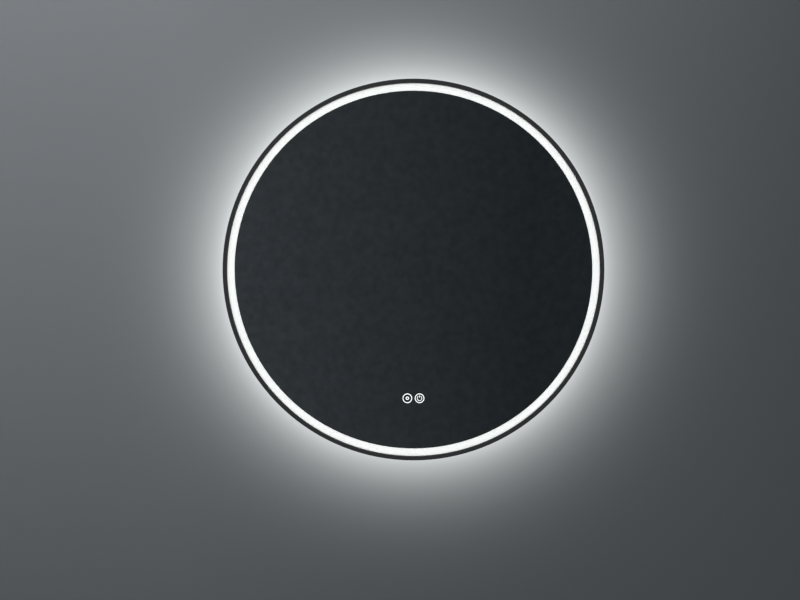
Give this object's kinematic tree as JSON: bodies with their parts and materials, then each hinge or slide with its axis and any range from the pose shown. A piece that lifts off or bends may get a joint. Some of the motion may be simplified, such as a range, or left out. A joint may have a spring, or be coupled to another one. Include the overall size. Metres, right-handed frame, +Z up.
{
  "type": "lighted bathroom mirror",
  "caption": "Round wall mirror with a dark frame, a lit clear band inside it, a glow round its edge, two touch symbols and a cleat rail to hang it.",
  "frame": {"origin": "middle of the wall rail's line of screws, on the wall plane", "axes": "+Z up, +Y into the wall, the mirror faces -Y, +X to the right seen from the front"},
  "size_m": [0.8, 0.048, 0.8],
  "materials": {
    "frame_black": "matt black powder coat",
    "clear_glass": "polished clear float glass",
    "silvering": "mirror silvering",
    "opal_front": "opal diffuser, lit",
    "opal_rear": "opal sleeve, lit",
    "opal_icon": "opal lens, lit",
    "white_paint": "gloss white enamel",
    "galvanised_sheet": "galvanised sheet",
    "zinc_steel": "bright zinc plate",
    "fastener_steel": "bright zinc plate",
    "mill_aluminium": "mill finish",
    "black_rubber": "matt",
    "foam_tape": "foam tape",
    "strip_board": "white solder resist",
    "led_phosphor": "phosphor face",
    "circuit_board": "green solder resist",
    "demister_film": "heating film",
    "black_plastic": "moulded",
    "white_plastic": "moulded",
    "brass_parts": "bright",
    "tinned_copper": "tinned",
    "white_sheath": "flexible sheath",
    "grey_sheath": "flexible sheath",
    "earth_sheath": "flexible sheath"
  },
  "bodies": {
    "wall_bracket": {"wall_rail": "zinc_steel"},
    "mirror": {"cable_grommet": "black_rubber", "demister_icon_lens": "opal_icon", "demister_lead": "white_sheath", "demister_pad": "demister_film", "demister_sensor_lead": "white_sheath", "demister_touch_sensor": "black_plastic", "driver_board": "circuit_board", "driver_case": "white_plastic", "driver_cover": "white_plastic", "driver_cover_screws": "fastener_steel", "driver_tape": "foam_tape", "earth_lead": "earth_sheath", "earth_lug": "tinned_copper", "earth_nut": "brass_parts", "earth_stud": "brass_parts", "frame_ring": "frame_black", "frame_splice": "mill_aluminium", "front_diffuser": "opal_front", "front_led_board": "strip_board", "front_leds": "led_phosphor", "front_strip_lead": "white_sheath", "hanger_bracket": "zinc_steel", "hanger_rivets": "fastener_steel", "lead_clips": "white_plastic", "light_icon_lens": "opal_icon", "light_sensor_lead": "white_sheath", "light_touch_sensor": "black_plastic", "lip_tape": "foam_tape", "mains_lead": "grey_sheath", "mirror_glass": "clear_glass", "pan_screws": "fastener_steel", "rear_diffuser": "opal_rear", "rear_led_board": "strip_board", "rear_leds": "led_phosphor", "rear_pan": "galvanised_sheet", "rear_strip_lead": "white_sheath", "reflector_ring": "white_paint", "sensor_boards": "circuit_board", "silver_coating": "silvering", "splice_screws": "fastener_steel", "terminal_base": "white_plastic", "terminal_cover": "white_plastic", "terminal_rivets": "fastener_steel", "terminal_screws": "fastener_steel", "wall_bumpers": "black_rubber"}
  },
  "joints": [
    {"name": "lift_off", "type": "slide", "parent": "wall_bracket", "child": "mirror", "axis": [0, 0, 1], "range_m": [0, 0.018]}
  ]
}
